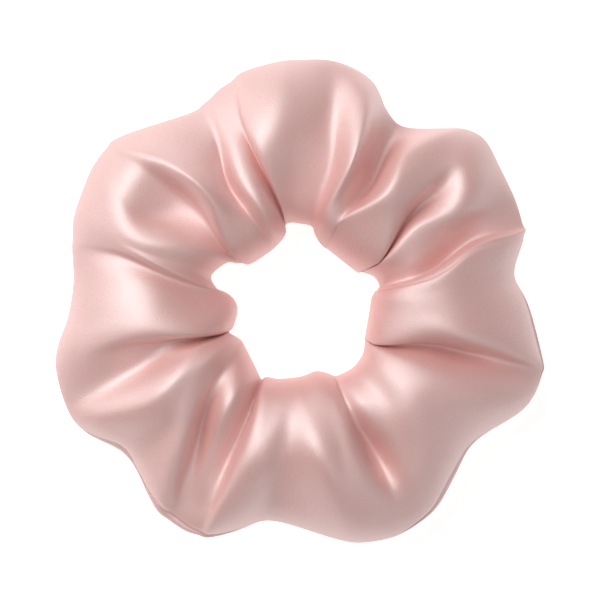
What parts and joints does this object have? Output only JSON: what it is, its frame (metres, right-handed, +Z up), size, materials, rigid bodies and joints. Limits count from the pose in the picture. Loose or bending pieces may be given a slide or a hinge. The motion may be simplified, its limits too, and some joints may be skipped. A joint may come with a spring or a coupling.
{
  "type": "scrunchie",
  "caption": "Satin scrunchie: a gathered fabric tube with puffed folds round a hidden loop of flat elastic, for tying back hair.",
  "frame": {"origin": "middle of the underside, on the surface the scrunchie lies on", "axes": "+Z up, along the hole's axis; the end seam is near +X"},
  "size_m": [0.109, 0.1088, 0.0261],
  "materials": {
    "satin": "glossy woven satin",
    "sewing_thread": "spun thread",
    "elastic": "knitted elastic",
    "elastic_thread": "spun thread"
  },
  "bodies": {
    "cover": {"satin_cover": "satin", "long_seam_needle_thread": "sewing_thread", "long_seam_bobbin_thread": "sewing_thread", "gap_closing_thread": "sewing_thread", "end_seam_needle_thread": "sewing_thread", "end_seam_bobbin_thread": "sewing_thread"},
    "elastic_loop": {"elastic_band": "elastic", "elastic_join_needle_thread": "elastic_thread", "elastic_join_bobbin_thread": "elastic_thread"}
  },
  "joints": [
    {"name": "elastic_turn", "type": "hinge", "parent": "cover", "child": "elastic_loop", "pos_m": [0.00015, -0.00145, 0.0125], "axis": [0, 0, 1], "continuous": true}
  ]
}
